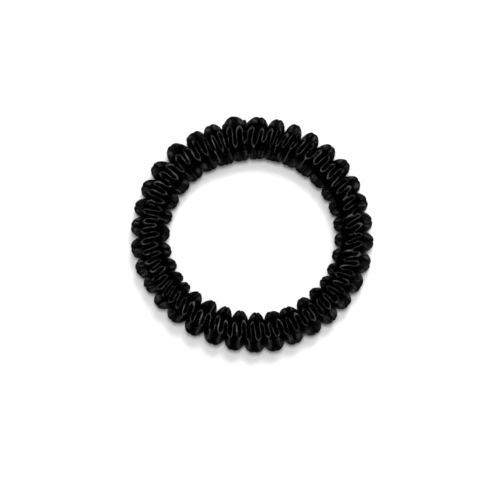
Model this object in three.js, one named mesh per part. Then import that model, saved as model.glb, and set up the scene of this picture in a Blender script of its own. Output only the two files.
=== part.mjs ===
// A slim silk scrunchie: a silk tube gathered tightly over a ring of elastic cord.
// Millimetres, +Z up. The ring lies flat on z = 0, and its angles run clockwise from the far side, +Y.
import * as THREE from "three";
import { mergeVertices } from "three/addons/utils/BufferGeometryUtils.js";

// Ring and roll
const ringRadius = 27.2; // centre line of the roll
const ringOval = 0.5; // the centre line is this much wider in X and narrower in Y
const rollHalfWidth = 5.4;
const rollHalfHeight = 5.0;
const restPress = 0.35; // the underside is pressed flat by this much where it lies

// Elastic cord, and the silk wall around it
const cordRadius = 1.1;
const cordClearance = 0.4;
const silkWall = 1.2;
const tunnelRadius = cordRadius + cordClearance;
const cutFloor = tunnelRadius + silkWall; // no fold of the silk comes nearer to the centre line

// Gathers
const pleatDepth = 0.9; // of the fine folds over the crown
const tipCrease = 0.35; // crease in the middle of a knob's tip, which makes it double
const pleatHalfWidth = 0.2; // share of a knob's pitch
const flankWidth = 0.4; // the rounded side of a knob ends this far from its notch, as a share of the pitch
const crownOverlap = 0.47; // how far past the crown a fold runs, as a share of the half width
const seamGap = 0.3; // between the two ends of the tube, at the closing seam

// Facets
const stepsPerKnob = 8;
const tunnelEvery = 2; // the tunnel takes every second step
const cordSides = 8;
const cordSteps = 40;
const crownSide = [0, 32, 62, 90, 118, 148, 180]; // degrees round the section, from the outer edge
const restBand = [260, 280]; // the flat band underneath
const sectionDegrees = [...crownSide, 212, 240, ...restBand, 300, 328];

// One row for each knob of the gathers, as it is met clockwise round the ring:
// the angle of its tip on the outer edge, the angle of the fold that runs from its right half to the
// inner edge, its reach outwards and inwards as shares of the roll's half width, and the depths of the
// outer notch behind it and of its inner notch as shares of the deepest cut.
const knobColumns = ["outerDeg", "innerDeg", "outerReach", "innerReach", "outerCut", "innerCut"];
const knobRows = [
  [3.5, 9.5, 1.06, 1.08, 0.72, 0.15],
  [13.2, 17.5, 1.07, 1.09, 0.92, 0],
  [22, 26.5, 1.08, 1.08, 0.95, 0.2],
  [31.5, 38.7, 1.05, 1.08, 0.93, 0.22],
  [42.5, 51.5, 1.04, 1.04, 0.93, 0.25],
  [53, 62, 1.05, 1.04, 0.93, 0.46],
  [63.3, 72.5, 0.99, 1.02, 0.73, 0.5],
  [73.3, 83.8, 0.96, 1, 0.7, 0.52],
  [83.5, 94, 0.99, 0.97, 0.7, 0.5],
  [93.7, 103.8, 1.04, 0.96, 0.74, 0.64],
  [104.3, 113.5, 1.06, 0.95, 0.56, 0.68],
  [116, 123.2, 1.04, 0.92, 0.62, 0.66],
  [126.3, 133, 1.01, 0.98, 0.7, 0.64],
  [137, 143.5, 1, 0.97, 0.65, 0.78],
  [147.2, 155.2, 1, 0.91, 0.62, 0.84],
  [158, 167, 1.01, 0.95, 0.65, 0.4],
  [168.3, 177, 1.1, 0.99, 0.5, 0.76],
  [179, 188, 1.06, 1.06, 0.68, 0.74],
  [189.6, 199, 1.02, 1.1, 0.85, 0.72],
  [200, 210, 0.97, 1.11, 0.9, 0.68],
  [211.8, 222, 0.97, 1.07, 0.93, 0.68],
  [222.9, 232, 0.95, 1, 0.72, 0.7],
  [233.4, 239.2, 0.98, 1.02, 0.72, 0.45],
  [243, 249.2, 0.95, 1.02, 0.6, 0.48],
  [252.7, 259, 1.04, 0.98, 0.76, 0.52],
  [263.4, 271, 1.04, 0.99, 0.76, 0.65],
  [274, 281.4, 1.01, 1.01, 0.72, 0.58],
  [283.8, 292, 1, 1.05, 0.8, 0.54],
  [293.9, 304, 1, 1.09, 0.82, 0.45],
  [304.8, 316, 1.07, 1.12, 0.96, 0.35],
  [317.5, 328.7, 1.12, 1.16, 0.9, 0.3],
  [330.2, 338.8, 1.02, 1.2, 0.6, 0.2],
  [338.7, 346.5, 1.01, 1.22, 0.85, 0.2],
  [350.3, 358, 1.15, 1.15, 0.72, 0.2],
];
const knobs = knobRows.map((row) => Object.fromEntries(row.map((value, i) => [knobColumns[i], value])));

// A knob coordinate w counts the knobs: tips stand at whole numbers on the outer edge and notches
// halfway between them. On the inner edge a fold stands at a quarter and at three quarters.
const foldAt = 0.75;
const usualInnerNotch = 0.25;
const lateInnerNotch = 0.75;
const lateKnobs = [1, 33, 34]; // here the inner notch comes half a knob later

const radians = (degrees) => (degrees * Math.PI) / 180;
const mix = (a, b, share) => a + (b - a) * share;

function smooth(x) {
  const t = Math.min(Math.max(x, 0), 1);
  return t * t * (3 - 2 * t);
}

// A column of the table at knob coordinate w, where row k stands at k + offset. Angles gain a turn
// each time that w passes the last knob.
function along(column, w, offset) {
  const position = w - offset - 1;
  const before = Math.floor(position);
  const value = (index) => {
    const turns = Math.floor(index / knobs.length);
    const row = knobs[index - turns * knobs.length];
    return row[column] + (column.endsWith("Deg") ? 360 * turns : 0);
  };
  return mix(value(before), value(before + 1), position - before);
}

// Where each inner notch stands, and how deep it is.
const innerNotches = knobs.map((knob, i) => {
  const late = lateKnobs.includes(i + 1);
  return { w: i + 1 + (late ? lateInnerNotch : usualInnerNotch), cut: knob.innerCut };
});

// The distance from w to a place on the ring, counted in knobs, the short way round.
function knobDistance(w, place) {
  const apart = Math.abs(w - place) % knobs.length;
  return Math.min(apart, knobs.length - apart);
}

// The side of a knob: 1 in the notch, falling steeply and then gently to 0 where the knob's tip begins.
const notchFlank = (distance) => Math.max(1 - distance / flankWidth, 0) ** 2.7;

// A narrow fold, 1 on its line.
const pleatShape = (distance) => Math.max(1 - distance / pleatHalfWidth, 0) ** 1.5;

// How much of a fold is left at a section place: outward is the cosine, measured to the fold's own side.
const foldEnd = (outward) => smooth((outward + crownOverlap) / crownOverlap);

// Depth of the cuts that come from one edge. reach is the roll's half width there, notch the nearest
// notch, and foldDistance the distance to the nearest fine fold.
function edgeCut(outward, reach, notch, foldDistance) {
  const deepest = (reach - cutFloor) * notch.cut;
  const flank = notchFlank(notch.distance) * Math.max(outward, 0) ** 0.6;
  const nearNotch = notch.distance < 0.25 && notch.cut > 0;
  const atEdge = nearNotch ? Math.min(pleatDepth, deepest) : tipCrease;
  const fold = mix(pleatDepth, atEdge, smooth(outward)) * pleatShape(foldDistance);
  return Math.max(deepest - pleatDepth, 0) * flank + fold * foldEnd(outward);
}

function outerNotch(w) {
  const index = (Math.floor(w) - 1 + knobs.length) % knobs.length;
  return { distance: Math.abs(w - Math.floor(w) - 0.5), cut: knobs[index].outerCut };
}

function innerNotch(w) {
  const nearest = innerNotches.reduce((a, b) => (knobDistance(w, b.w) < knobDistance(w, a.w) ? b : a));
  return { distance: knobDistance(w, nearest.w), cut: nearest.cut };
}

// The distance from w to the nearest of the folds at offset, offset + 0.5, and so on.
const toNearestFold = (w, offset) => Math.abs(2 * (w - offset) - Math.round(2 * (w - offset))) / 2;

// The roll at one place of its skin: ring angle, half width there, and depth of the folds.
function skinAt(w, degrees) {
  const outward = Math.cos(radians(degrees));
  const inwards = (1 - outward) / 2;
  const angle = mix(along("outerDeg", w, 0), along("innerDeg", w, foldAt), inwards);
  const share = mix(along("outerReach", w, 0), along("innerReach", w, foldAt), inwards);
  const reach = rollHalfWidth * share;
  const cut =
    edgeCut(outward, reach, outerNotch(w), toNearestFold(w, 0)) +
    edgeCut(-outward, reach, innerNotch(w), toNearestFold(w, usualInnerNotch));
  return { angle, reach, cut };
}

// The point of a section: the centre line, plus the half width and half height shared out by its angle.
function sectionPoint(angle, degrees, halfWidth, halfHeight) {
  const turn = radians(angle);
  const radius = ringRadius - ringOval * Math.cos(2 * turn) + halfWidth * Math.cos(radians(degrees));
  const z = halfHeight * Math.sin(radians(degrees));
  return new THREE.Vector3(radius * Math.sin(turn), radius * Math.cos(turn), z);
}

const restLevel = restPress - rollHalfHeight;

function skinPoint(w, degrees) {
  const { angle, reach, cut } = skinAt(w, degrees);
  const point = sectionPoint(angle, degrees, reach - cut, rollHalfHeight - cut);
  point.z = restBand.includes(degrees) ? restLevel : Math.max(point.z, restLevel);
  return point;
}

// The tunnel keeps one wall below the deepest skin near it.
function tunnelPoint(w, degrees) {
  const near = [-1, 0, 1].map((side) => skinAt(w + side / stepsPerKnob, degrees));
  const { angle } = near[1];
  const depth = silkWall + (degrees > 180 ? restPress : 0);
  const halfWidth = Math.min(...near.map(({ reach, cut }) => reach - cut)) - depth;
  const halfHeight = rollHalfHeight - Math.max(...near.map(({ cut }) => cut)) - depth;
  return sectionPoint(angle, degrees, Math.max(halfWidth, tunnelRadius), Math.max(halfHeight, tunnelRadius));
}

// Triangles between two rows of points that both close on themselves.
function joinRows(indices, first, second, count) {
  for (let i = 0; i < count; i++) {
    const next = (i + 1) % count;
    indices.push(first + i, second + next, second + i);
    indices.push(first + i, first + next, second + next);
  }
}

function meshOf(name, points, indices, material) {
  const geometry = new THREE.BufferGeometry().setFromPoints(points);
  geometry.setIndex(indices);
  const merged = mergeVertices(geometry, 1e-4);
  merged.computeVertexNormals();
  const mesh = new THREE.Mesh(merged, material);
  mesh.name = name;
  return mesh;
}

// The silk: its skin from one end of the tube to the other, the tunnel back, and the two end faces.
function silkCover(material) {
  const pitch = (2 * Math.PI * ringRadius) / knobs.length;
  const halfGap = seamGap / 2 / pitch;
  const steps = knobs.length * stepsPerKnob;
  const first = 0.5;
  const places = Array.from({ length: steps + 1 }, (_, i) => first + i / stepsPerKnob);
  places[0] += halfGap;
  places[steps] -= halfGap;
  const rows = [
    ...places.map((w) => sectionDegrees.map((degrees) => skinPoint(w, degrees))),
    ...places
      .filter((_, i) => i % tunnelEvery === 0)
      .reverse()
      .map((w) => sectionDegrees.map((degrees) => tunnelPoint(w, degrees))),
  ];
  const count = sectionDegrees.length;
  const indices = [];
  rows.forEach((_, i) => joinRows(indices, i * count, ((i + 1) % rows.length) * count, count));
  return meshOf("silk_cover", rows.flat(), indices, material);
}

// The elastic: a plain round cord, closed on itself.
function elasticCord(material) {
  const points = [];
  const indices = [];
  for (let i = 0; i < cordSteps; i++) {
    for (let j = 0; j < cordSides; j++) {
      points.push(sectionPoint((360 * i) / cordSteps, (360 * j) / cordSides, cordRadius, cordRadius));
    }
    joinRows(indices, i * cordSides, ((i + 1) % cordSteps) * cordSides, cordSides);
  }
  return meshOf("elastic_cord", points, indices, material);
}

const silk = new THREE.MeshStandardMaterial({ color: 0x121213, roughness: 0.42, metalness: 0 });
const elastic = new THREE.MeshStandardMaterial({ color: 0x1c1c1e, roughness: 0.85, metalness: 0 });

const group = new THREE.Group();
group.add(silkCover(silk), elasticCord(elastic));

// The origin is the middle of the box on the resting plane.
const box = new THREE.Box3().setFromObject(group);
const middle = box.getCenter(new THREE.Vector3());
group.children.forEach((mesh) => mesh.geometry.translate(-middle.x, -middle.y, -box.min.z));

export default group;
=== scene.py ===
"""A slim silk scrunchie: black silk charmeuse gathered tightly over a ring of elastic cord.

Laid out as an add-on and run as a script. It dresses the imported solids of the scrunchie, which stay as the
fixed frame: the silk cover is worked out anew as one fine surface, its closing stitches are added, and the
cord inside gets its braid. Angles run clockwise from the far side, +Y, as they do in the solids' source.
"""

import math

import bpy
import numpy as np
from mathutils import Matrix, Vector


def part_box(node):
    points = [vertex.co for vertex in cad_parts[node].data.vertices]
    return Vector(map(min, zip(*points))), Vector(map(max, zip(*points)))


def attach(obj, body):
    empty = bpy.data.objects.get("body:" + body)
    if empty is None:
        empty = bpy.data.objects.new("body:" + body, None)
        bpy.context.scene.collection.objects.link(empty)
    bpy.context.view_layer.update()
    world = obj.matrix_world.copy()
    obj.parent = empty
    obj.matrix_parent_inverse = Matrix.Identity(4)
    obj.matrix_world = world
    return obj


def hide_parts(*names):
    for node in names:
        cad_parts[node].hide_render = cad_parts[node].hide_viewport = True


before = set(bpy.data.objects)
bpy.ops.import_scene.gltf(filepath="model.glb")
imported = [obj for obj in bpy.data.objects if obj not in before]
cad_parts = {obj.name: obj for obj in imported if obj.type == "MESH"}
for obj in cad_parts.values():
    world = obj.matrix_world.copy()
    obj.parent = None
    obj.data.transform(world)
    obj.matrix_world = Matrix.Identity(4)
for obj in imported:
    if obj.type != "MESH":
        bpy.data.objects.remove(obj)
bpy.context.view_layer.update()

bl_info = {
    "name": "Silk scrunchie",
    "version": (1, 0, 0),
    "blender": (4, 5, 0),
    "location": "3D View > Sidebar > Scrunchie",
    "description": "Makes a gathered silk scrunchie over its packed solids",
    "category": "Add Mesh",
}

PHOTO_PIXELS = 500

# One row for each knob of the gathers, clockwise: the angle of its tip on the outer edge, the angle of the
# fold that runs from its right half to the inner edge, its reach outwards and inwards as shares of the roll's
# half width, and the depths of the outer notch behind it and of its inner notch as shares of the deepest cut.
COLUMNS = ("outer_deg", "inner_deg", "outer_reach", "inner_reach", "outer_cut", "inner_cut")
KNOB_ROWS = (
    (3.5, 9.5, 1.06, 1.08, 0.72, 0.15),
    (13.2, 17.5, 1.07, 1.09, 0.92, 0),
    (22, 26.5, 1.08, 1.08, 0.95, 0.2),
    (31.5, 38.7, 1.05, 1.08, 0.93, 0.22),
    (42.5, 51.5, 1.04, 1.04, 0.93, 0.25),
    (53, 62, 1.05, 1.04, 0.93, 0.46),
    (63.3, 72.5, 0.99, 1.02, 0.73, 0.5),
    (73.3, 83.8, 0.96, 1, 0.7, 0.52),
    (83.5, 94, 0.99, 0.97, 0.7, 0.5),
    (93.7, 103.8, 1.04, 0.96, 0.74, 0.64),
    (104.3, 113.5, 1.06, 0.95, 0.56, 0.68),
    (116, 123.2, 1.04, 0.92, 0.62, 0.66),
    (126.3, 133, 1.01, 0.98, 0.7, 0.64),
    (137, 143.5, 1, 0.97, 0.65, 0.78),
    (147.2, 155.2, 1, 0.91, 0.62, 0.84),
    (158, 167, 1.01, 0.95, 0.65, 0.4),
    (168.3, 177, 1.1, 0.99, 0.5, 0.76),
    (179, 188, 1.06, 1.06, 0.68, 0.74),
    (189.6, 199, 1.02, 1.1, 0.85, 0.72),
    (200, 210, 0.97, 1.11, 0.9, 0.68),
    (211.8, 222, 0.97, 1.07, 0.93, 0.68),
    (222.9, 232, 0.95, 1, 0.72, 0.7),
    (233.4, 239.2, 0.98, 1.02, 0.72, 0.45),
    (243, 249.2, 0.95, 1.02, 0.6, 0.48),
    (252.7, 259, 1.04, 0.98, 0.76, 0.52),
    (263.4, 271, 1.04, 0.99, 0.76, 0.65),
    (274, 281.4, 1.01, 1.01, 0.72, 0.58),
    (283.8, 292, 1, 1.05, 0.8, 0.54),
    (293.9, 304, 1, 1.09, 0.82, 0.45),
    (304.8, 316, 1.07, 1.12, 0.96, 0.35),
    (317.5, 328.7, 1.12, 1.16, 0.9, 0.3),
    (330.2, 338.8, 1.02, 1.2, 0.6, 0.2),
    (338.7, 346.5, 1.01, 1.22, 0.85, 0.2),
    (350.3, 358, 1.15, 1.15, 0.72, 0.2),
)
KNOBS = np.array(KNOB_ROWS)
KNOB_COUNT = len(KNOBS)

# A knob coordinate counts the knobs. On the outer edge, knob k has its tip at k and its notch half a knob on.
# On the inner edge, its fold stands at FOLD_AT past k, and its notch at the usual place or at the late one.
OUTER_NOTCH = 0.5
FOLD_AT = 0.75
USUAL_INNER_NOTCH = 0.25
LATE_INNER_NOTCH = 0.75
LATE_KNOBS = (1, 33, 34)

# The notch where the two ends of the tube meet.
SEAM_AT = 0.5

# Valleys of the crown's folds that come from one edge, for each knob.
VALLEYS = 2

# Knob coordinates between which a crest runs on from the crown along each outer knob.
LONG_STEMS = (16, 22)

# Outer notches from whose valley's end a crest runs on to the inner edge.
INNER_STEMS = (2.5, 3.5, 4.5, 20.5, 27.5, 30.5, 32.5)

# Outer notches whose valley is pinched on the crown, so that the crests on its two sides make one thick fold.
PINCHED_NOTCHES = (7.5, 8.5, 9.5, 10.5)

# The outer knob that is a plain dome, with no crease in its tip.
PLAIN_KNOB = 34

# How far the folds lean over the crown: angle on the ring, and the lean in degrees, inner end clockwise.
LEANS = (
    (0, 0),
    (45, 0),
    (70, 0.8),
    (105, 0.6),
    (150, 0),
    (215, 0.2),
    (235, 1.5),
    (262, 1.3),
    (280, 0),
    (300, -1),
    (325, -1),
    (350, 0),
    (360, 0),
)

# Places where a crest's painted highlight is wider and brighter: angle on the ring, and place across it, from
# -1 on the inner edge to 1 on the outer edge.
GLINTS = (
    (11.4, 0.26),
    (20.7, 0.33),
    (30.6, 0.2),
    (41.1, 0.26),
    (53.4, -0.18),
    (58.8, -0.18),
    (64.5, 0.39),
    (69.3, -0.18),
    (80.1, -0.18),
    (85.2, 0.39),
    (90.6, -0.18),
    (100.5, -0.18),
    (102, 0.33),
    (110.1, -0.18),
    (116.7, 0.33),
    (120.3, -0.18),
    (128.4, 0.26),
    (133.8, 0.2),
    (144, 0.2),
    (151.8, -0.3),
    (162.9, -0.3),
    (185.1, -0.4),
    (189, 0.04),
    (196.5, -0.42),
    (199.8, 0.01),
    (211.2, 0.01),
    (219, -0.36),
    (222.3, 0.1),
    (237.3, 0.26),
    (247.5, 0.2),
    (253.2, 0.33),
    (257.4, 0.26),
    (264, 0.39),
    (267.6, 0.33),
    (274.2, 0.33),
    (288, 0.26),
    (293.7, 0.14),
    (298.8, 0.26),
    (306.6, -0.18),
    (309.3, 0.26),
    (319.2, 0.07),
    (323.4, 0),
    (336.9, 0),
    (343.2, -0.18),
    (352.8, 0.26),
)

# Half widths of a glint, a painted highlight: in degrees along the ring, and across it as a share of
# the half width.
GLINT_DEGREES = 1.0
GLINT_SHARE = 0.19

# Small dark folds in outer notches: knob coordinate, height in millimetres, half width in knobs.
SMALL_FOLDS = (
    (24.55, 0.6, 0.07),
    (25.6, 0.6, 0.08),
    (33.55, 0.6, 0.05),
    (34.46, 0.9, 0.05),
    (31.65, 0.3, 0.06),
)
MILLIMETRE = 0.001


class RollSizes(bpy.types.PropertyGroup):
    """Sizes of the gathered roll. Its ring and its half width are those of the solids."""

    ring_radius: bpy.props.FloatProperty(
        name="Ring radius", description="Centre line of the roll",
        default=0.0272, subtype="DISTANCE", unit="LENGTH",
    )
    ring_oval: bpy.props.FloatProperty(
        name="Oval", description="How much wider the centre line is in X, and narrower in Y",
        default=0.0005, subtype="DISTANCE", unit="LENGTH",
    )
    half_width: bpy.props.FloatProperty(
        name="Roll half width", description="From the centre line to a knob's tip",
        default=0.0054, subtype="DISTANCE", unit="LENGTH",
    )
    half_height: bpy.props.FloatProperty(
        name="Roll half height", description="From the centre line to the crown",
        default=0.0052, subtype="DISTANCE", unit="LENGTH",
    )
    cut_floor: bpy.props.FloatProperty(
        name="Deepest cut", description="No fold comes nearer to the centre line",
        default=0.0024, subtype="DISTANCE", unit="LENGTH",
    )
    pleat_depth: bpy.props.FloatProperty(
        name="Pleat depth", description="Depth of the valleys between the thin folds over the crown",
        default=0.0012, subtype="DISTANCE", unit="LENGTH",
    )
    crest_rounding: bpy.props.FloatProperty(
        name="Crest rounding", description="Roundness of a fold's crest, as a share of the way to its valley",
        default=0.15, subtype="FACTOR",
    )
    knob_drop: bpy.props.FloatProperty(
        name="Knob drop", description="How far the knobs lie below the crests of the crown",
        default=0.00015, subtype="DISTANCE", unit="LENGTH",
    )
    tip_crease: bpy.props.FloatProperty(
        name="Tip crease", description="Depth of the crease in a knob's tip",
        default=0.00022, subtype="DISTANCE", unit="LENGTH",
    )
    crease_half_width: bpy.props.FloatProperty(
        name="Crease half width", description="From the crease's line to its edge",
        default=0.0006, subtype="DISTANCE", unit="LENGTH",
    )
    valley_end: bpy.props.FloatProperty(
        name="Valley end", description="How far a valley runs past the crown, as a share of the half width",
        default=0.2, subtype="FACTOR",
    )
    streak: bpy.props.FloatProperty(
        name="Streak depth", description="Depth of the fine wrinkles that run over the folds",
        default=0.00002, subtype="DISTANCE", unit="LENGTH",
    )
    wander: bpy.props.FloatProperty(
        name="Wander", description="How far the folds stray sideways, in knobs",
        default=0.035, subtype="FACTOR",
    )
    wall: bpy.props.FloatProperty(
        name="Wall", description="Silk between the skin and the tunnel of the cord",
        default=0.0009, subtype="DISTANCE", unit="LENGTH",
    )
    tunnel_radius: bpy.props.FloatProperty(
        name="Tunnel radius", description="Least radius of the tunnel of the cord",
        default=0.0013, subtype="DISTANCE", unit="LENGTH",
    )
    cut_width: bpy.props.FloatProperty(
        name="Cut width", description="Flat width of the silk strip between its seams",
        default=0.031, subtype="DISTANCE", unit="LENGTH",
    )
    cut_length: bpy.props.FloatProperty(
        name="Cut length", description="Flat length of the silk strip between its seams",
        default=0.26, subtype="DISTANCE", unit="LENGTH",
    )


class SilkFinish(bpy.types.PropertyGroup):
    """Colours and gloss of the silk, its thread and the cord, with the colour of the silk's painted sheen."""

    silk: bpy.props.FloatVectorProperty(
        name="Silk", description="Colour of the silk",
        default=(0.0006, 0.0006, 0.0007), size=3, subtype="COLOR",
    )
    # Painted highlight: the sheen is a light colour mixed into the silk's base colour along the crests,
    # stems, knobs and rims.
    sheen: bpy.props.FloatVectorProperty(
        name="Sheen", description="Colour of the silk where it shines along a fold's crest",
        default=(0.09, 0.09, 0.09), size=3, subtype="COLOR",
    )
    roughness: bpy.props.FloatProperty(
        name="Silk roughness", description="Gloss of the charmeuse", default=0.28, subtype="FACTOR"
    )
    thread: bpy.props.FloatVectorProperty(
        name="Thread", description="Colour of the stitches",
        default=(0.012, 0.012, 0.012), size=3, subtype="COLOR",
    )
    cord: bpy.props.FloatVectorProperty(
        name="Cord", description="Colour of the elastic",
        default=(0.02, 0.02, 0.022), size=3, subtype="COLOR",
    )


class StageSettings(bpy.types.PropertyGroup):
    """The floor, the lights and the camera."""

    floor: bpy.props.FloatVectorProperty(
        name="Floor", description="Colour of the floor",
        default=(0.9, 0.9, 0.9), size=3, subtype="COLOR",
    )
    elevation: bpy.props.FloatProperty(
        name="Elevation", description="The camera's height over the floor, as an angle",
        default=math.radians(84), subtype="ANGLE", unit="ROTATION",
    )
    distance: bpy.props.FloatProperty(
        name="Distance", description="From the camera to the scrunchie",
        default=0.8, subtype="DISTANCE", unit="LENGTH",
    )
    frame_width: bpy.props.FloatProperty(
        name="Frame width", description="Width of the picture at the scrunchie",
        default=0.1364, subtype="DISTANCE", unit="LENGTH",
    )


def smooth(t):
    """3 t^2 - 2 t^3, with t held between 0 and 1."""
    t = np.clip(t, 0, 1)
    return t * t * (3 - 2 * t)


def rise(x, start, span):
    """0 up to start and 1 from start + span on, smooth between them."""
    return smooth((x - start) / span)


def bell(x, half_width):
    """exp(-(x / half width)^2), which is 1 in the middle."""
    return np.exp(-((x / half_width) ** 2))


def mix(a, b, share):
    """The value a share of the way from a to b."""
    return a + (b - a) * share


def along(column, w, offset=0.0):
    """A column of the table at knob coordinate w, by straight lines between its rows, row k at k + offset.

    Angles gain a turn each time that w passes the last knob.
    """
    spare = 3
    rows = np.arange(-spare, KNOB_COUNT + spare + 1)
    values = KNOBS[rows % KNOB_COUNT, COLUMNS.index(column)]
    if column.endswith("deg"):
        values = values + 360 * (rows // KNOB_COUNT)
    return np.interp(w, rows + 1 + offset, values)


def along_step(column, w):
    """A column of the table at knob coordinate w, as the value of the knob just before w."""
    return KNOBS[(np.floor(w).astype(int) - 1) % KNOB_COUNT, COLUMNS.index(column)]


def ring_noise(rng, w, cells):
    """A smooth random line round the ring: cells random values a knob, joined by a smooth step."""
    count = KNOB_COUNT * cells
    values = rng.uniform(-1, 1, count)
    place = np.asarray(w) * cells
    before = np.floor(place).astype(int)
    share = smooth(place - before)
    return mix(values[before % count], values[(before + 1) % count], share)


def streaks(rng, w, turn, cells, waves):
    """Random ridges that run round the section and change slowly along it.

    The sum over m below waves of a_m(w) cos(m turn) + b_m(w) sin(m turn), each a_m and b_m a random line
    round the ring, divided by the root of their number.
    """
    total = np.zeros(np.broadcast(w, turn).shape)
    for m in range(waves):
        total += ring_noise(rng, w, cells) * np.cos(m * turn) + ring_noise(rng, w, cells) * np.sin(m * turn)
    return total / math.sqrt(2 * waves)


def layered(layers, w, turn):
    """The sum of a seed's streaks, drawn in order, each layer with its height, cells and waves."""
    seed, rows = layers
    rng = np.random.default_rng(seed)
    return sum(height * streaks(rng, w, turn, cells, waves) for height, cells, waves in rows)


def inner_notches():
    """Knob coordinates and cuts of the notches on the inner edge, in order."""
    rows = np.arange(1, KNOB_COUNT + 1)
    late = np.isin(rows, LATE_KNOBS)
    place = rows + np.where(late, LATE_INNER_NOTCH, USUAL_INNER_NOTCH)
    cut = KNOBS[:, COLUMNS.index("inner_cut")]
    real = cut > 0
    return place[real], cut[real]


def nearest_notch(w, place, cut):
    """Distance in knobs from w to the nearest of the notches at place, and that notch's cut."""
    turns = [-KNOB_COUNT, 0, KNOB_COUNT]
    places = np.concatenate([place + turn for turn in turns])
    cuts = np.tile(cut, len(turns))
    nearest = np.searchsorted((places[1:] + places[:-1]) / 2, w)
    return np.abs(w - places[nearest]), cuts[nearest]


def valley_lines(v, offset):
    """Numbers of the two nearest valleys of one edge, counted from 0, and the distances to them in knobs.

    The first valley stands at offset, and the others follow at equal steps.
    """
    place = VALLEYS * (v - offset)
    first = np.round(place).astype(int)
    second = first + np.where(place > first, 1, -1)
    return [
        (number % (VALLEYS * KNOB_COUNT), np.abs(v - offset - number / VALLEYS)) for number in (first, second)
    ]


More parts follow.
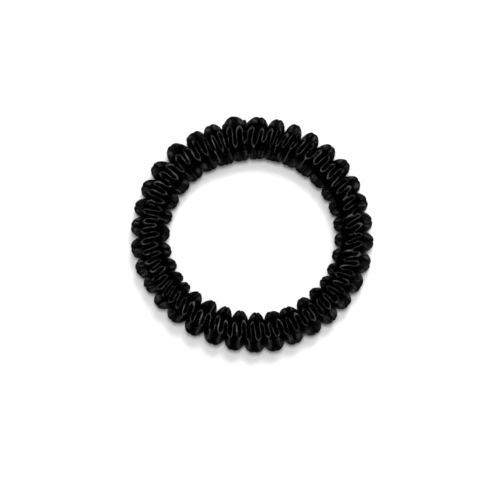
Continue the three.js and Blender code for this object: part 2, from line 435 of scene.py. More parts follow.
class Roll:
    """The gathered roll as a function of the knob coordinate v and the turn round the section.

    The turn is 0 on the outer edge, a quarter at the crown, a half on the inner edge and three quarters on
    the floor. Its cosine, called outward, goes from 1 on the outer edge to -1 on the inner one. The numbers
    below are shares of the half width where they say how far across, and knobs where they say how far along.
    """

    # Random layers: a seed, then the height, the cells a knob and the waves round the section of each layer.
    STRAY = (7, ((1, 2, 4),))
    CREST_WAVES = (5, ((0.38, 4, 4), (0.14, 3, 12)))
    WRINKLES = (11, ((1, 9, 4), (0.8, 5, 3)))
    RAGGED_START = (9, ((0.06, 4, 2),))

    # Ends of the valleys: their seed, how far each strays, and how much farther past the crown the pinched
    # ones and the inner ones run.
    VALLEY_SEED = 34
    END_STRAY = 0.08
    PINCHED_LONGER = 0.2
    INNER_LONGER = 0.07

    # How far a stem's crest stays below the winding one, least and most, as shares of the way to a valley.
    STEM_LOWER = (0.25, 1.3)

    # A fold turns from its outer to its inner place from this share of its way on, over the second share.
    FOLD_TURN = (0.15, 0.7)

    # A pinch: its half width, where it starts and the span over which it sets in.
    PINCH_HALF = 0.16
    PINCH_START = 0.12
    PINCH_SPAN = 0.15

    # Where each of these starts and the span over which it sets in, from the crown to the edge: the end of
    # the crown's folds, the drop onto the knobs, a crease's change to the tip's depth, and the rim, where a
    # knob's flank gets a painted highlight.
    CROWN_END = (0.48, 0.08)
    DROP = (0.43, 0.15)
    TIP = (0.45, 0.5)
    RIM = (0.75, 0.24)

    # Powers of a knob's side, along and across, and of a crease, and how steeply a small fold rises outwards.
    SIDE_POWER = 2.4
    ACROSS_POWER = 0.6
    CREASE_POWER = 1.5
    SMALL_FOLD_SLOPE = 1.6

    # The painted highlight line on a knob's flank: how far from its notch, below the rim and on it, and
    # half width.
    FLANK_PLACES = (0.27, 0.08)
    FLANK_HALF = 0.14

    # Where the marks of the outer and of the inner knobs start, and the spans of their painted shade and
    # their painted sheen.
    KNOB_STARTS = (0.53, 0.6)
    PAINTED_SHADE_SPAN = 0.1
    SHINE_SPAN = 0.25

    # How dark the painted shade in a knob's middle is, without a stem and with one, and the share of its
    # painted sheen that a stem takes.
    MIDDLE_PAINTED_SHADE = (0.6, 0.85)
    STEM_TAKES = 0.7

    # How steeply the long stems' knobs set in along the ring, and where a stem fades out and how steeply.
    STEMMED_SLOPE = 3
    STEM_END = 0.88
    STEM_FADE = 3

    # Painted sheen in a knob's middle against its flanks', the inner rims' against the outer ones', and how
    # steeply the painted shade and the painted sheen set in above the middle plane, so both lie on the upper
    # side.
    MIDDLE_SHINE = 0.4
    INNER_RIM = 0.3
    PAINTED_SHADE_SLOPE = 1.4
    SHINE_SLOPE = 5

    # Steps about itself at which the tunnel looks at the skin, and how much more wall its floor has, because
    # the skin is pressed flat there.
    NEAR = (-0.125, -0.06, 0, 0.06, 0.125)
    MORE_WALL_BELOW = 0.0004

    def __init__(self, sizes, centre):
        self.sizes = sizes
        self.centre = centre
        self.pitch = 2 * math.pi * sizes.ring_radius / KNOB_COUNT
        rng = np.random.default_rng(self.VALLEY_SEED)
        self.ends = rng.uniform(-self.END_STRAY, self.END_STRAY, (2, VALLEYS * KNOB_COUNT))
        self.ends[0][[round(VALLEYS * place) for place in PINCHED_NOTCHES]] -= self.PINCHED_LONGER
        self.ends[1] -= self.INNER_LONGER
        self.stems = rng.uniform(*self.STEM_LOWER, (2, VALLEYS * KNOB_COUNT))
        self.stems[0][[round(VALLEYS * place) for place in INNER_STEMS]] = 0
        self.stems[1][round(VALLEYS * LONG_STEMS[0]) : round(VALLEYS * LONG_STEMS[1])] = 0

    def reach(self, w, inwards):
        """Half width of the roll: the table's reach, shared out between the outer and the inner edge."""
        share = mix(along("outer_reach", w), along("inner_reach", w, FOLD_AT), inwards)
        return self.sizes.half_width * share

    def angle(self, w, inwards):
        """Angle on the ring: a fold goes over the crown from its place on the outer edge to the inner one.

        Its lean is added on the way as sin(2 pi i - pi) times 4 i (1 - i), i the share inwards.
        """
        angle = mix(along("outer_deg", w), along("inner_deg", w, FOLD_AT), rise(inwards, *self.FOLD_TURN))
        lean = np.interp(angle % 360, *zip(*LEANS))
        return angle + lean * np.sin(2 * math.pi * inwards - math.pi) * (4 * inwards * (1 - inwards))

    def valley_distances(self, v, outward, offset, ends):
        """Distances to the two nearest valleys of one edge, and the nearest one's number.

        A valley comes straight from its edge, runs past the crown and ends round.
        """
        distances = []
        lines = valley_lines(v, offset)
        for number, apart in lines:
            past = np.maximum(ends[number] - self.sizes.valley_end - outward, 0) * self.sizes.half_width
            distances.append(np.hypot(apart * self.pitch, past))
        return distances, lines[0][0]

    def crest_shift(self, v, turn):
        """What moves the winding crest sideways: random waves, and a bell over each pinched valley."""
        shift = layered(self.CREST_WAVES, v, turn)
        pinched = rise(self.PINCH_START - np.cos(turn), 0, self.PINCH_SPAN)
        for place in PINCHED_NOTCHES:
            shift += bell(v - place, self.PINCH_HALF) * pinched
        return shift

    def crests(self, v, turn):
        """Distances to the winding crest and to the nearest stem, as shares of the way to a valley.

        The winding crest runs where the nearest valleys of the two edges are equally far, so it goes in
        round bends about the valleys' ends, and its distance has a sign. A stem runs on from a bend, between
        two valleys of one edge, and may be weak.
        """
        outward = np.cos(turn)
        (out_1, out_2), out_number = self.valley_distances(v, outward, 0, self.ends[0])
        (in_1, in_2), in_number = self.valley_distances(v, -outward, USUAL_INNER_NOTCH, self.ends[1])
        scale = 2 * VALLEYS / self.pitch
        winding = (out_1 - in_1) * scale + self.crest_shift(v, turn)
        stem_in = (in_2 - np.minimum(in_1, out_1)) * scale + self.stems[0][out_number]
        stem_out = (out_2 - np.minimum(out_1, in_1)) * scale + self.stems[1][in_number]
        return winding, np.minimum(stem_in, stem_out)

    def edge_cut(self, v, outward, reach, notch, offset, creased):
        """Depth of the cuts that come from one edge: the notches between its knobs and the creases in them.

        A knob's side falls as (1 - 2 d)^2.4 from the notch, d the distance to it in knobs, and as
        outward^0.6 from the edge to the crown. A crease is (1 - r / half width)^1.5 deep, r the distance to
        its line. Its depth goes from the pleats' by the crown to the tip crease's at the edge, or to nothing
        if not creased.
        """
        s = self.sizes
        distance, cut = notch
        deepest = (reach - s.cut_floor) * cut
        side = np.maximum(1 - 2 * distance, 0) ** self.SIDE_POWER
        across = np.maximum(outward, 0) ** self.ACROSS_POWER
        flank = np.maximum(deepest - s.tip_crease, 0) * (side * across)
        apart = valley_lines(v, offset)[0][1] * self.pitch / s.crease_half_width
        depth = mix(s.pleat_depth, s.tip_crease * creased, rise(outward, *self.TIP))
        crease = depth * np.maximum(1 - apart, 0) ** self.CREASE_POWER
        return np.minimum(flank + crease * rise(outward, *self.CROWN_END), np.maximum(deepest, s.pleat_depth))

    def glints(self, angle, outward):
        """Nearness to the glints, where a crest's painted highlight widens: round humps, 1 high."""
        near = np.zeros(angle.shape)
        for place, across in GLINTS:
            apart = ((angle - place + 180) % 360 - 180) / GLINT_DEGREES
            near = np.maximum(near, np.exp(-(apart**2) - ((outward - across) / GLINT_SHARE) ** 2))
        return near

    def small_folds(self, w, outward):
        """Height of the small folds in the outer notches: a bell in w, on the outer half alone."""
        height = np.zeros(np.broadcast(w, outward).shape)
        for place, tall, half in SMALL_FOLDS:
            apart = np.abs((w - place + KNOB_COUNT / 2) % KNOB_COUNT - KNOB_COUNT / 2)
            height += MILLIMETRE * tall * bell(apart, half) * smooth(outward * self.SMALL_FOLD_SLOPE)
        return height

    def section(self, v, turn):
        """Ring angle, half width and depth of the cuts at v and turn, and where that is among the folds.

        The last is the distance to the nearest notch in knobs, and the distances to the crests. The cuts are
        the pleats over the crown, a small drop onto the knobs, and the notches and creases of both edges,
        less the small folds. A pleat falls as the root of (d^2 + r^2), less r, and is 1 pleat deep at d = 1:
        d is the distance to the nearest crest, and r its rounding.
        """
        s = self.sizes
        outward = np.cos(turn)
        across = np.abs(outward)
        inwards = (1 - outward) / 2
        w = self.stray(v, turn)
        reach = self.reach(w, inwards)
        notch_out = (np.abs(v - np.floor(v) - OUTER_NOTCH), along_step("outer_cut", v))
        notch_in = nearest_notch(v, *inner_notches())
        winding, stem = self.crests(v, turn)
        away = nearest_crest(winding, stem)
        crown = 1 - rise(across, *self.CROWN_END)
        drop = s.knob_drop * rise(across, *self.DROP) * np.abs(np.sin(turn))
        rounding = s.crest_rounding
        fall = (np.hypot(away, rounding) - rounding) / (math.hypot(1, rounding) - rounding)
        creased = np.abs(v - PLAIN_KNOB) > OUTER_NOTCH
        cut = (
            crown * s.pleat_depth * fall
            + drop
            + self.edge_cut(v, outward, reach, notch_out, 0, creased)
            + self.edge_cut(v, -outward, reach, notch_in, USUAL_INNER_NOTCH, 1)
            - self.small_folds(v, outward)
        )
        from_notch = np.where(outward > 0, notch_out[0], notch_in[0])
        return self.angle(w, inwards), reach, cut, (from_notch, winding, stem)

    def stray(self, v, turn):
        """Knob coordinate of the point at v: the folds run straight in v, and stray in the true one."""
        return v + self.sizes.wander * layered(self.STRAY, v, turn)

    def marks(self, v, turn, angle, among_folds):
        """Marks for the silk's material, by name.

        Winding and Stem are the distances to the crests, and the others go from 0 to 1. Valley is painted
        shade:
        how dark the silk is made between the crests of the crown, and past it in the middle of each knob, on
        its upper side. Knob is where a knob gets painted sheen in bands, Rim where its flanks get a painted
        highlight at the very edge, and Glint where a crest's painted highlight is wide.
        """
        from_notch, winding, stem = among_folds
        outward, upward = np.cos(turn), np.sin(turn)
        across = np.abs(outward)
        outer = outward > 0
        rim = rise(across, *self.RIM)
        flank = bell(from_notch - mix(*self.FLANK_PLACES, rim), self.FLANK_HALF)
        start = np.where(outer, *self.KNOB_STARTS) + layered(self.RAGGED_START, v, turn)
        edge = rise(across, start, self.PAINTED_SHADE_SPAN)
        first, last = LONG_STEMS
        stemmed = smooth((v - first) * self.STEMMED_SLOPE) * smooth((last - v) * self.STEMMED_SLOPE) * outer
        knob = rise(across, start, self.SHINE_SPAN) * (1 - self.STEM_TAKES * stemmed)
        # Painted shade: the middle of each knob, away from its flanks, is made dark on the upper side.
        painted_shade = mix(*self.MIDDLE_PAINTED_SHADE, stemmed) * edge * (1 - flank) * smooth(self.PAINTED_SHADE_SLOPE * upward)
        # Painted sheen on the knobs and rims lies on the upper side alone.
        lit = smooth(self.SHINE_SLOPE * upward)
        return {
            "Winding": winding,
            "Stem": stem + self.STEM_FADE * np.maximum(across - self.STEM_END, 0),
            "Valley": np.maximum(nearest_crest(winding, stem) * (1 - edge), painted_shade),
            "Knob": knob * mix(self.MIDDLE_SHINE, 1, flank) * lit,
            "Rim": np.where(outer, 1, self.INNER_RIM) * rim * flank * lit,
            "Glint": self.glints(angle, outward) * (upward > 0),
        }

    def place(self, angle, turn, half_width, half_height):
        """A point: the oval centre line at the angle, plus the half sizes shared out by the turn."""
        s = self.sizes
        around = np.radians(angle)
        radius = s.ring_radius - s.ring_oval * np.cos(2 * around) + half_width * np.cos(turn)
        z = np.broadcast_to(half_height * np.sin(turn), radius.shape)
        points = np.stack([radius * np.sin(around), radius * np.cos(around), z], axis=-1)
        return points + np.array(self.centre)

    def skin(self, v, turn):
        """Points of the outer skin, pressed flat where it lies on the floor, and the marks of their folds."""
        s = self.sizes
        angle, reach, cut, among_folds = self.section(v, turn)
        wrinkle = s.streak * layered(self.WRINKLES, v, turn)
        points = self.place(angle, turn, reach - cut + wrinkle, s.half_height - cut + wrinkle)
        points[..., 2] = np.maximum(points[..., 2], 0)
        return points, self.marks(v, turn, angle, among_folds)

    def tunnel(self, v, turn):
        """Points of the tunnel, one wall below the deepest skin near it."""
        s = self.sizes
        angles, reaches, cuts, _ = zip(*(self.section(v + step, turn) for step in self.NEAR))
        narrowest = np.minimum.reduce([reach - cut for reach, cut in zip(reaches, cuts)])
        lowest = s.half_height - np.maximum.reduce(cuts)
        below = s.wall + np.where(np.sin(turn) < 0, self.MORE_WALL_BELOW, 0)
        width = np.maximum(narrowest - below, s.tunnel_radius)
        height = np.maximum(lowest - below, s.tunnel_radius)
        return self.place(angles[len(self.NEAR) // 2], turn, width, height)


def nearest_crest(winding, stem):
    """Distance to the nearer of the winding crest and a stem, 1 at the most."""
    return np.minimum(np.minimum(np.abs(winding), stem), 1)


def grid_faces(rows, columns, close_rows):
    """Quads of a grid whose columns close on themselves, and whose rows do so too if asked."""
    row = np.arange(rows if close_rows else rows - 1)[:, None]
    column = np.arange(columns)[None, :]
    after, beside = (row + 1) % rows, (column + 1) % columns
    corners = (
        row * columns + column,
        row * columns + beside,
        after * columns + beside,
        after * columns + column,
    )
    return np.stack(np.broadcast_arrays(*corners), axis=-1).reshape(-1, 4)


def mesh_object(name, points, faces, uv=None):
    """A smooth mesh object from arrays of points, quads and, for each corner, a place in the pattern."""
    mesh = bpy.data.meshes.new(name)
    mesh.vertices.add(len(points))
    mesh.vertices.foreach_set("co", points.astype(np.float32).ravel())
    mesh.loops.add(faces.size)
    mesh.loops.foreach_set("vertex_index", faces.astype(np.int32).ravel())
    mesh.polygons.add(len(faces))
    mesh.polygons.foreach_set("loop_start", np.arange(0, faces.size, faces.shape[1], dtype=np.int32))
    if uv is not None:
        layer = mesh.uv_layers.new(name="Pattern")
        layer.data.foreach_set("uv", uv.astype(np.float32).ravel())
    mesh.update(calc_edges=True)
    mesh.validate()
    mesh.shade_smooth()
    piece = bpy.data.objects.new(name, mesh)
    bpy.context.scene.collection.objects.link(piece)
    return piece


def tube(path, outwards, radius, sides):
    """Points of a round tube: rings of the radius about each point of the path, square to it."""
    along_path = np.gradient(path, axis=0)
    along_path /= np.linalg.norm(along_path, axis=1, keepdims=True)
    across = np.cross(along_path, outwards)
    across /= np.linalg.norm(across, axis=1, keepdims=True)
    upright = np.cross(across, along_path)
    turn = 2 * math.pi * np.arange(sides) / sides
    sideways = np.cos(turn)[None, :, None] * across[:, None]
    up = np.sin(turn)[None, :, None] * upright[:, None]
    return (path[:, None] + radius * (sideways + up)).reshape(-1, 3)


class Shade:
    """A shader socket. Sums written on it add Math nodes, and node() adds any other node."""

    def __init__(self, tree, socket=None):
        self.tree = tree
        self.socket = socket

    def node(self, kind, settings, inputs, output=0):
        """Adds a node, sets its settings and then its sockets by name or number, and wraps one output."""
        made = self.tree.nodes.new(kind)
        for name, value in settings.items():
            if name == "stops":
                self.set_stops(made.color_ramp, value)
            else:
                setattr(made, name, value)
        for name, value in inputs.items():
            if isinstance(value, Shade):
                self.tree.links.new(value.socket, made.inputs[name])
            else:
                made.inputs[name].default_value = value
        return Shade(self.tree, made.outputs[output])

    @staticmethod
    def set_stops(colours, stops):
        """Gives a colour ramp its stops, as pairs of place and grey level."""
        while len(colours.elements) < len(stops):
            colours.elements.new(0.5)
        for element, (place, level) in zip(colours.elements, stops):
            element.position = place
            element.color = (level, level, level, 1)

    def maths(self, operation, other, swapped=False):
        """A Math node of this value and another, in either order."""
        first, second = (other, self) if swapped else (self, other)
        return self.node("ShaderNodeMath", {"operation": operation}, {0: first, 1: second})

    def __add__(self, other):
        return self.maths("ADD", other)

    def __radd__(self, other):
        return self.maths("ADD", other, swapped=True)

    def __sub__(self, other):
        return self.maths("SUBTRACT", other)

    def __rsub__(self, other):
        return self.maths("SUBTRACT", other, swapped=True)

    def __mul__(self, other):
        return self.maths("MULTIPLY", other)

    def __rmul__(self, other):
        return self.maths("MULTIPLY", other, swapped=True)


def new_material(name):
    """An empty material, its shader node and a Shade on its tree."""
    material = bpy.data.materials.new(name)
    material.use_nodes = True
    tree = material.node_tree
    tree.nodes.clear()
    output = tree.nodes.new("ShaderNodeOutputMaterial")
    shader = tree.nodes.new("ShaderNodeBsdfPrincipled")
    tree.links.new(shader.outputs[0], output.inputs[0])
    return material, shader, Shade(tree)


def feed(shader, name, value):
    """Links a Shade to a shader's socket."""
    value.tree.links.new(value.socket, shader.inputs[name])


def pattern(shade, place, across, detail, roughness):
    """Flat noise over a piece's own pattern, with this many features a metre along the ring and round it."""
    stretched = shade.node("ShaderNodeMapping", {}, {"Vector": place, "Scale": (*across, 1)})
    return shade.node(
        "ShaderNodeTexNoise",
        {"noise_dimensions": "2D"},
        {"Vector": stretched, "Scale": 1, "Detail": detail, "Roughness": roughness},
    )


def mark(shade, name):
    """A mark of the folds, which the mesh carries as an attribute."""
    return shade.node("ShaderNodeAttribute", {"attribute_name": name}, {}, output=2)


def ramp(shade, value, low, high, way="LINEAR"):
    """0 up to low and 1 from high on, straight between them unless another way is given."""
    sockets = {0: value, 1: low, 2: high, 3: 0.0, 4: 1.0}
    return shade.node("ShaderNodeMapRange", {"interpolation_type": way}, sockets)


def crest_line(shade, apart, half_width):
    """1 on a crest's line and 0 from its half width on, smooth between them."""
    return 1 - ramp(shade, apart, 0.0, half_width, way="SMOOTHSTEP")


def tinted(shade, share, plain, tint):
    """The colour a share of the way from plain to tint."""
    sockets = {0: share, 6: (*plain, 1), 7: (*tint, 1)}
    return shade.node("ShaderNodeMix", {"data_type": "RGBA"}, sockets, output=2)


def bump(shade, height, strength, distance):
    """The normal of a surface whose height goes up to the distance, in metres."""
    sockets = {"Strength": strength, "Distance": distance, "Height": height}
    return shade.node("ShaderNodeBump", {}, sockets)


def set_constants(shader, values):
    """Sets a shader's own sockets, which are the same all over the surface."""
    for name, value in values.items():
        shader.inputs[name].default_value = value


# Noise patterns over the silk: features a metre along the ring and round the section, detail and roughness.
# The patches vary the crests' painted highlight and the gloss, and the stripes lay painted sheen on the
# knobs.
STREAKS = ((2600, 260), 3, 0.6)
WEAVE = ((9000, 3200), 1, 0.5)
PATCHES = ((550, 300), 2, 0.5)
PAINTED_SHEEN_STRIPES = ((1700, 180), 2, 0.6)

# Shares of the streaks and the weave in the bump, and how much the roughness varies from patch to patch.
STREAK_SHARE = 0.8
WEAVE_SHARE = 0.2
GLOSS_VARIES = 0.08

# Levels of the patches, the stripes and the valleys from which, and up to which, each takes effect: the
# patches brighten the crests' painted highlight, the stripes are painted sheen and the valleys painted shade.
BRIGHT_PATCH = (0.4, 0.62)
PAINTED_SHEEN_STRIPE_LEVELS = (0.5, 0.58)
VALLEY_PAINTED_SHADE = (0.3, 0.6)

# Half width of the winding crest's painted highlight line, and what a bright patch and a glint add to it,
# then the same of a stem's painted line and what a patch adds. All are shares of the way to a valley.
CREST_HALF = 0.08
CREST_PATCH = 0.1
CREST_GLINT = 0.5
STEM_HALF = 0.16
STEM_PATCH = 0.2

# Shares of the painted sheen's colour: the winding crest alone, what a bright patch and a glint add to it, a
# stem, the stripes of a knob and its rim, each a painted highlight.
CREST_SHINE = 0.1
PATCH_SHINE = 0.5
GLINT_SHINE = 0.6
STEM_SHINE = 0.55
STRIPE_SHINE = 0.55
RIM_SHINE = 0.35


def silk_material(finish):
    """Black charmeuse, whose crests, knobs and rims are painted with a grey highlight.

    The share of the painted sheen's colour is the sum of the winding crest's line, a stem's line, the painted
    bands on a knob and its rim, all painted highlights. The valleys are metallic, so that they stay dark:
    painted shade. Streaks and a faint weave make the bump, and the patches that make a crest's painted
    highlight bright or dim change the gloss a little too.
    """
    material, shader, shade = new_material("BlackCharmeuse")
    place = shade.node("ShaderNodeUVMap", {"uv_map": "Pattern"}, {})
    height = pattern(shade, place, *STREAKS) * STREAK_SHARE + pattern(shade, place, *WEAVE) * WEAVE_SHARE
    patch = pattern(shade, place, *PATCHES)
    bright = ramp(shade, patch, *BRIGHT_PATCH)
    glint = mark(shade, "Glint")
    apart = shade.node("ShaderNodeMath", {"operation": "ABSOLUTE"}, {0: mark(shade, "Winding")})
    crest = crest_line(shade, apart, CREST_HALF + bright * CREST_PATCH + glint * CREST_GLINT)
    stem = crest_line(shade, mark(shade, "Stem"), STEM_HALF + patch * STEM_PATCH)
    # Painted sheen on the knobs, in stripes.
    painted_sheen_stripe = ramp(shade, pattern(shade, place, *PAINTED_SHEEN_STRIPES), *PAINTED_SHEEN_STRIPE_LEVELS)
    shine = (
        crest * (CREST_SHINE + bright * PATCH_SHINE + glint * GLINT_SHINE)
        + stem * STEM_SHINE
        + mark(shade, "Knob") * painted_sheen_stripe * STRIPE_SHINE
        + mark(shade, "Rim") * RIM_SHINE
    )
    # Painted highlight: the shine mixes the painted sheen's colour into the base colour.
    feed(shader, "Base Color", tinted(shade, shine, finish.silk, finish.sheen))
    # Painted shade: where Valley is high the silk turns metallic, and its near-black colour then gives back
    # almost no light.
    feed(shader, "Metallic", ramp(shade, mark(shade, "Valley"), *VALLEY_PAINTED_SHADE))
    feed(shader, "Roughness", finish.roughness - GLOSS_VARIES / 2 + patch * GLOSS_VARIES)
    feed(shader, "Normal", bump(shade, height, strength=0.4, distance=0.0001))
    set_constants(shader, {"Specular IOR Level": 0.5, "Anisotropic": 0.8, "Anisotropic Rotation": 0.25})
    return material


def scaled_place(shade, features):
    """Object coordinates with this many features a metre."""
    place = shade.node("ShaderNodeTexCoord", {}, {}, output=3)
    return shade.node("ShaderNodeMapping", {}, {"Vector": place, "Scale": (features, features, features)})


def thread_material(finish):
    """Black twisted thread: diagonal ply lines on a dull sheen."""
    material, shader, shade = new_material("BlackThread")
    place = scaled_place(shade, features=9000)
    ply = shade.node("ShaderNodeTexWave", {"bands_direction": "DIAGONAL"}, {"Vector": place, "Scale": 0.6})
    light = tuple(2 * channel for channel in finish.thread)
    feed(shader, "Base Color", tinted(shade, ply * 0.6, finish.thread, light))
    feed(shader, "Normal", bump(shade, ply, strength=0.5, distance=0.00005))
    set_constants(shader, {"Roughness": 0.55})
    return material


def cord_material(finish):
    """Braided elastic: a small cell for each turn of yarn, light in its middle, on a matt cord."""
    material, shader, shade = new_material("BraidedElastic")
    place = scaled_place(shade, features=1800)
    yarn = shade.node("ShaderNodeTexVoronoi", {}, {"Vector": place, "Scale": 1})
    light = tuple(2.2 * channel for channel in finish.cord)
    feed(shader, "Base Color", tinted(shade, yarn * 0.8, light, finish.cord))
    feed(shader, "Normal", bump(shade, yarn, strength=0.6, distance=0.0001))
    set_constants(shader, {"Roughness": 0.8})
    return material


def floor_material(stage):
    """Pale matt paper with a very faint tooth."""
    material, shader, shade = new_material("PaleFloor")
    place = shade.node("ShaderNodeTexCoord", {}, {}, output=3)
    tooth = shade.node("ShaderNodeTexNoise", {}, {"Vector": place, "Scale": 900, "Detail": 2})
    feed(shader, "Roughness", 0.85 + tooth * 0.1)
    set_constants(shader, {"Base Color": (*stage.floor, 1), "Specular IOR Level": 0.2})
    return material


def ring_centre():
    """The middle of the cord, which the roll is built round."""
    low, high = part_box("elastic_cord")
    return (low + high) / 2


class SCRUNCHIE_OT_cover(bpy.types.Operator):
    """Make the gathered silk cover in place of its solid"""

    bl_idname = "scrunchie.cover"
    bl_label = "Silk cover"

    # Steps for each knob, of the skin and of the tunnel, steps round the section, and how much these crowd
    # at the crown.
    ALONG = 40
    TUNNEL_ALONG = 4
    AROUND = 64
    CROWDING = 0.5

    def execute(self, context):
        sizes = context.scene.scrunchie_roll
        roll = Roll(sizes, ring_centre())
        end = SEAM_AT + KNOB_COUNT
        w = np.linspace(SEAM_AT, end, KNOB_COUNT * self.ALONG, endpoint=False)
        back = np.linspace(end, SEAM_AT, KNOB_COUNT * self.TUNNEL_ALONG, endpoint=False)
        even = 2 * math.pi * np.arange(self.AROUND) / self.AROUND
        turn = (even + self.CROWDING * np.cos(even))[None, :]
        skin, marks = roll.skin(w[:, None], turn)
        points = np.concatenate([skin, roll.tunnel(back[:, None], turn)]).reshape(-1, 3)
        outer = grid_faces(len(w), self.AROUND, close_rows=True)
        inner = grid_faces(len(back), self.AROUND, close_rows=True) + len(w) * self.AROUND
        faces = np.concatenate([outer, inner])
        along_ring = np.concatenate([w, back]) * roll.pitch
        uv = self.pattern_places(faces, along_ring, 2 * math.pi * sizes.half_height)
        cover = mesh_object("SilkCover", points, faces, uv)
        # The tunnel takes every mark at 1, its painted shade and painted sheen alike.
        for name, values in marks.items():
            whole = np.concatenate([values.ravel(), np.ones(len(back) * self.AROUND)]).astype(np.float32)
            cover.data.attributes.new(name, "FLOAT", "POINT").data.foreach_set("value", whole)
        cover.data.materials.append(silk_material(context.scene.scrunchie_finish))
        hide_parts("silk_cover")
        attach(cover, "root")
        return {"FINISHED"}

    def pattern_places(self, faces, along_ring, girth):
        """Each corner's place in the pattern, in metres: along the ring, and round a section of this girth.

        A quad that closes the section has its far corners a full girth round it.
        """
        row, column = np.divmod(faces, self.AROUND)
        closing = column.max(axis=1, keepdims=True) == self.AROUND - 1
        column = np.where((column == 0) & closing, self.AROUND, column)
        return np.stack([along_ring[row], column * girth / self.AROUND], axis=-1)


class SCRUNCHIE_OT_stitches(bpy.types.Operator):
    """Make the stitches that close the two ends of the silk tube"""

    bl_idname = "scrunchie.stitches"
    bl_label = "Closing stitches"

    # A stitch reaches this far from the seam to either side. It stands proud in its middle and goes into the
    # silk at its ends by these shares of its thread's radius.
    COUNT = 12
    REACH = 0.0006
    THREAD = 0.0001
    PROUD = 1.2
    SUNK = 1.0
    STEPS = 9
    SIDES = 8

    def execute(self, context):
        sizes = context.scene.scrunchie_roll
        roll = Roll(sizes, ring_centre())
        share = np.linspace(-1, 1, self.STEPS)
        w = SEAM_AT + share * self.REACH / roll.pitch
        arch = self.THREAD * mix(self.PROUD, -self.SUNK, share**2)[:, None]
        pieces, faces = [], []
        for number in range(self.COUNT):
            turn = 2 * math.pi * (number + 0.5) / self.COUNT
            path = roll.skin(w[:, None], np.full((1, 1), turn))[0][:, 0]
            middle = roll.place(along("outer_deg", w), np.full(len(w), turn), 0, 0)
            outwards = path - middle
            outwards /= np.linalg.norm(outwards, axis=1, keepdims=True)
            path = path + outwards * arch
            path[:, 2] = np.maximum(path[:, 2], self.THREAD)
            pieces.append(tube(path, outwards, self.THREAD, self.SIDES))
            first = number * self.STEPS * self.SIDES
            faces.append(grid_faces(self.STEPS, self.SIDES, close_rows=False) + first)
        stitches = mesh_object("ClosingStitches", np.concatenate(pieces), np.concatenate(faces))
        stitches.data.materials.append(thread_material(context.scene.scrunchie_finish))
        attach(stitches, "root")
        return {"FINISHED"}


class SCRUNCHIE_OT_cord(bpy.types.Operator):
    """Give the elastic cord its braided finish"""

    bl_idname = "scrunchie.cord"
    bl_label = "Elastic cord"

    def execute(self, context):
        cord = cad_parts["elastic_cord"]
        cord.data.materials.clear()
        cord.data.materials.append(cord_material(context.scene.scrunchie_finish))
        return {"FINISHED"}


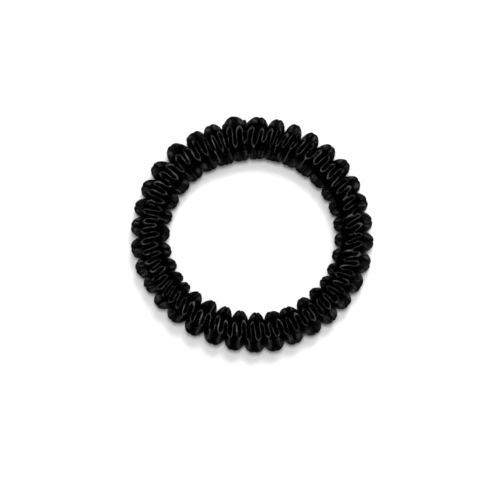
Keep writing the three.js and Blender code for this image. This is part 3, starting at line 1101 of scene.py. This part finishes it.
class SCRUNCHIE_OT_stage(bpy.types.Operator):
    """Lay the floor, set the lights and point the camera as in the photo"""

    bl_idname = "scrunchie.stage"
    bl_label = "Stage"

    # Half the floor's side, and how far it lies under the scrunchie.
    FLOOR_HALF = 3.0
    FLOOR_GAP = 0.00002

    # Soft square lights: name, place, side and power. The lamps show in no reflection, and the panel shows
    # in reflections alone.
    LAMPS = (
        ("FarLight", (0.2, 0.8, 1.4), 0.5, 15),
        ("TopLight", (0.0, 0.1, 1.6), 0.35, 12),
        ("FillLight", (0.0, 0.0, 1.5), 2.6, 18),
    )
    SHEEN_PANEL = ("SheenPanel", (0.0, 0.1, 1.6), 1.0, 15)

    # Grey levels of the surroundings, from straight down at 0 to straight up at 1.
    SURROUNDINGS = ((0.15, 0), (0.32, 0.05), (0.56, 0.05), (0.64, 0), (1, 0))

    # Where the ring's middle falls in the photo, the sensor's width in millimetres, and the nearest it sees.
    RING_PIXEL = (252.0, 234.3)
    SENSOR = 36
    NEAREST = 0.01

    def execute(self, context):
        settings = context.scene.scrunchie_stage
        self.lay_floor(settings)
        self.light_world(context.scene)
        for lamp in self.LAMPS:
            self.add_light(*lamp).visible_glossy = False
        self.add_light(*self.SHEEN_PANEL).visible_diffuse = False
        self.point_camera(context.scene, settings)
        context.scene.view_settings.view_transform = "Standard"
        return {"FINISHED"}

    def lay_floor(self, settings):
        """A flat square floor just under the scrunchie."""
        corners = self.FLOOR_HALF * np.array([(-1, -1, 0), (1, -1, 0), (1, 1, 0), (-1, 1, 0)])
        corners[:, 2] = -self.FLOOR_GAP
        floor = mesh_object("Floor", corners, np.array([[0, 1, 2, 3]]))
        floor.data.materials.append(floor_material(settings))
        floor.visible_glossy = False

    def light_world(self, scene):
        """Surroundings for the reflections: a dim band about the horizon and below it."""
        world = bpy.data.worlds.new("Studio")
        world.use_nodes = True
        scene.world = world
        tree = world.node_tree
        shade = Shade(tree)
        direction = shade.node("ShaderNodeTexCoord", {}, {}, output=0)
        up = shade.node("ShaderNodeSeparateXYZ", {}, {0: direction}, output=2)
        level = shade.node("ShaderNodeValToRGB", {"stops": self.SURROUNDINGS}, {0: up * 0.5 + 0.5})
        tree.links.new(level.socket, tree.nodes["Background"].inputs[0])

    @staticmethod
    def add_light(name, place, size, power):
        """A square soft light at a place, turned to the scrunchie."""
        light = bpy.data.lights.new(name, "AREA")
        light.shape = "SQUARE"
        light.size = size
        light.energy = power
        lamp = bpy.data.objects.new(name, light)
        lamp.location = place
        lamp.rotation_euler = (-lamp.location).to_track_quat("-Z", "Y").to_euler()
        bpy.context.scene.collection.objects.link(lamp)
        return lamp

    def point_camera(self, scene, settings):
        """A long lens at the photo's elevation, aimed so that the ring's middle falls on its pixel."""
        pixel = settings.frame_width / PHOTO_PIXELS
        right, down = (place - PHOTO_PIXELS / 2 for place in self.RING_PIXEL)
        centre = ring_centre()
        aim_x = centre[0] - right * pixel
        aim_y = centre[1] + down * pixel / math.sin(settings.elevation)
        data = bpy.data.cameras.new("Camera")
        data.sensor_width = self.SENSOR
        data.lens = data.sensor_width * settings.distance / settings.frame_width
        data.clip_start = self.NEAREST
        camera = bpy.data.objects.new("Camera", data)
        camera.location = (
            aim_x,
            aim_y - settings.distance * math.cos(settings.elevation),
            centre[2] + settings.distance * math.sin(settings.elevation),
        )
        camera.rotation_euler = (math.pi / 2 - settings.elevation, 0, 0)
        scene.collection.objects.link(camera)
        scene.camera = camera


class SCRUNCHIE_PT_panel(bpy.types.Panel):
    """The scrunchie's steps and settings"""

    bl_idname = "SCRUNCHIE_PT_panel"
    bl_label = "Silk scrunchie"
    bl_space_type = "VIEW_3D"
    bl_region_type = "UI"
    bl_category = "Scrunchie"

    def draw(self, context):
        layout = self.layout
        for group in ("scrunchie_roll", "scrunchie_finish", "scrunchie_stage"):
            settings = getattr(context.scene, group)
            for name in settings.bl_rna.properties.keys():
                if name not in ("rna_type", "name"):
                    layout.prop(settings, name)
        for operator in OPERATORS:
            layout.operator(operator.bl_idname)


OPERATORS = (SCRUNCHIE_OT_cover, SCRUNCHIE_OT_stitches, SCRUNCHIE_OT_cord, SCRUNCHIE_OT_stage)
SETTINGS = {"scrunchie_roll": RollSizes, "scrunchie_finish": SilkFinish, "scrunchie_stage": StageSettings}


def register():
    for kind in (*SETTINGS.values(), *OPERATORS, SCRUNCHIE_PT_panel):
        bpy.utils.register_class(kind)
    for name, kind in SETTINGS.items():
        setattr(bpy.types.Scene, name, bpy.props.PointerProperty(type=kind))


def unregister():
    for name in SETTINGS:
        delattr(bpy.types.Scene, name)
    for kind in (SCRUNCHIE_PT_panel, *reversed(OPERATORS), *reversed(SETTINGS.values())):
        bpy.utils.unregister_class(kind)


def main():
    """Registers the add-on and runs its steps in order."""
    register()
    bpy.ops.scrunchie.cover()
    bpy.ops.scrunchie.stitches()
    bpy.ops.scrunchie.cord()
    bpy.ops.scrunchie.stage()


if __name__ == "__main__":
    main()
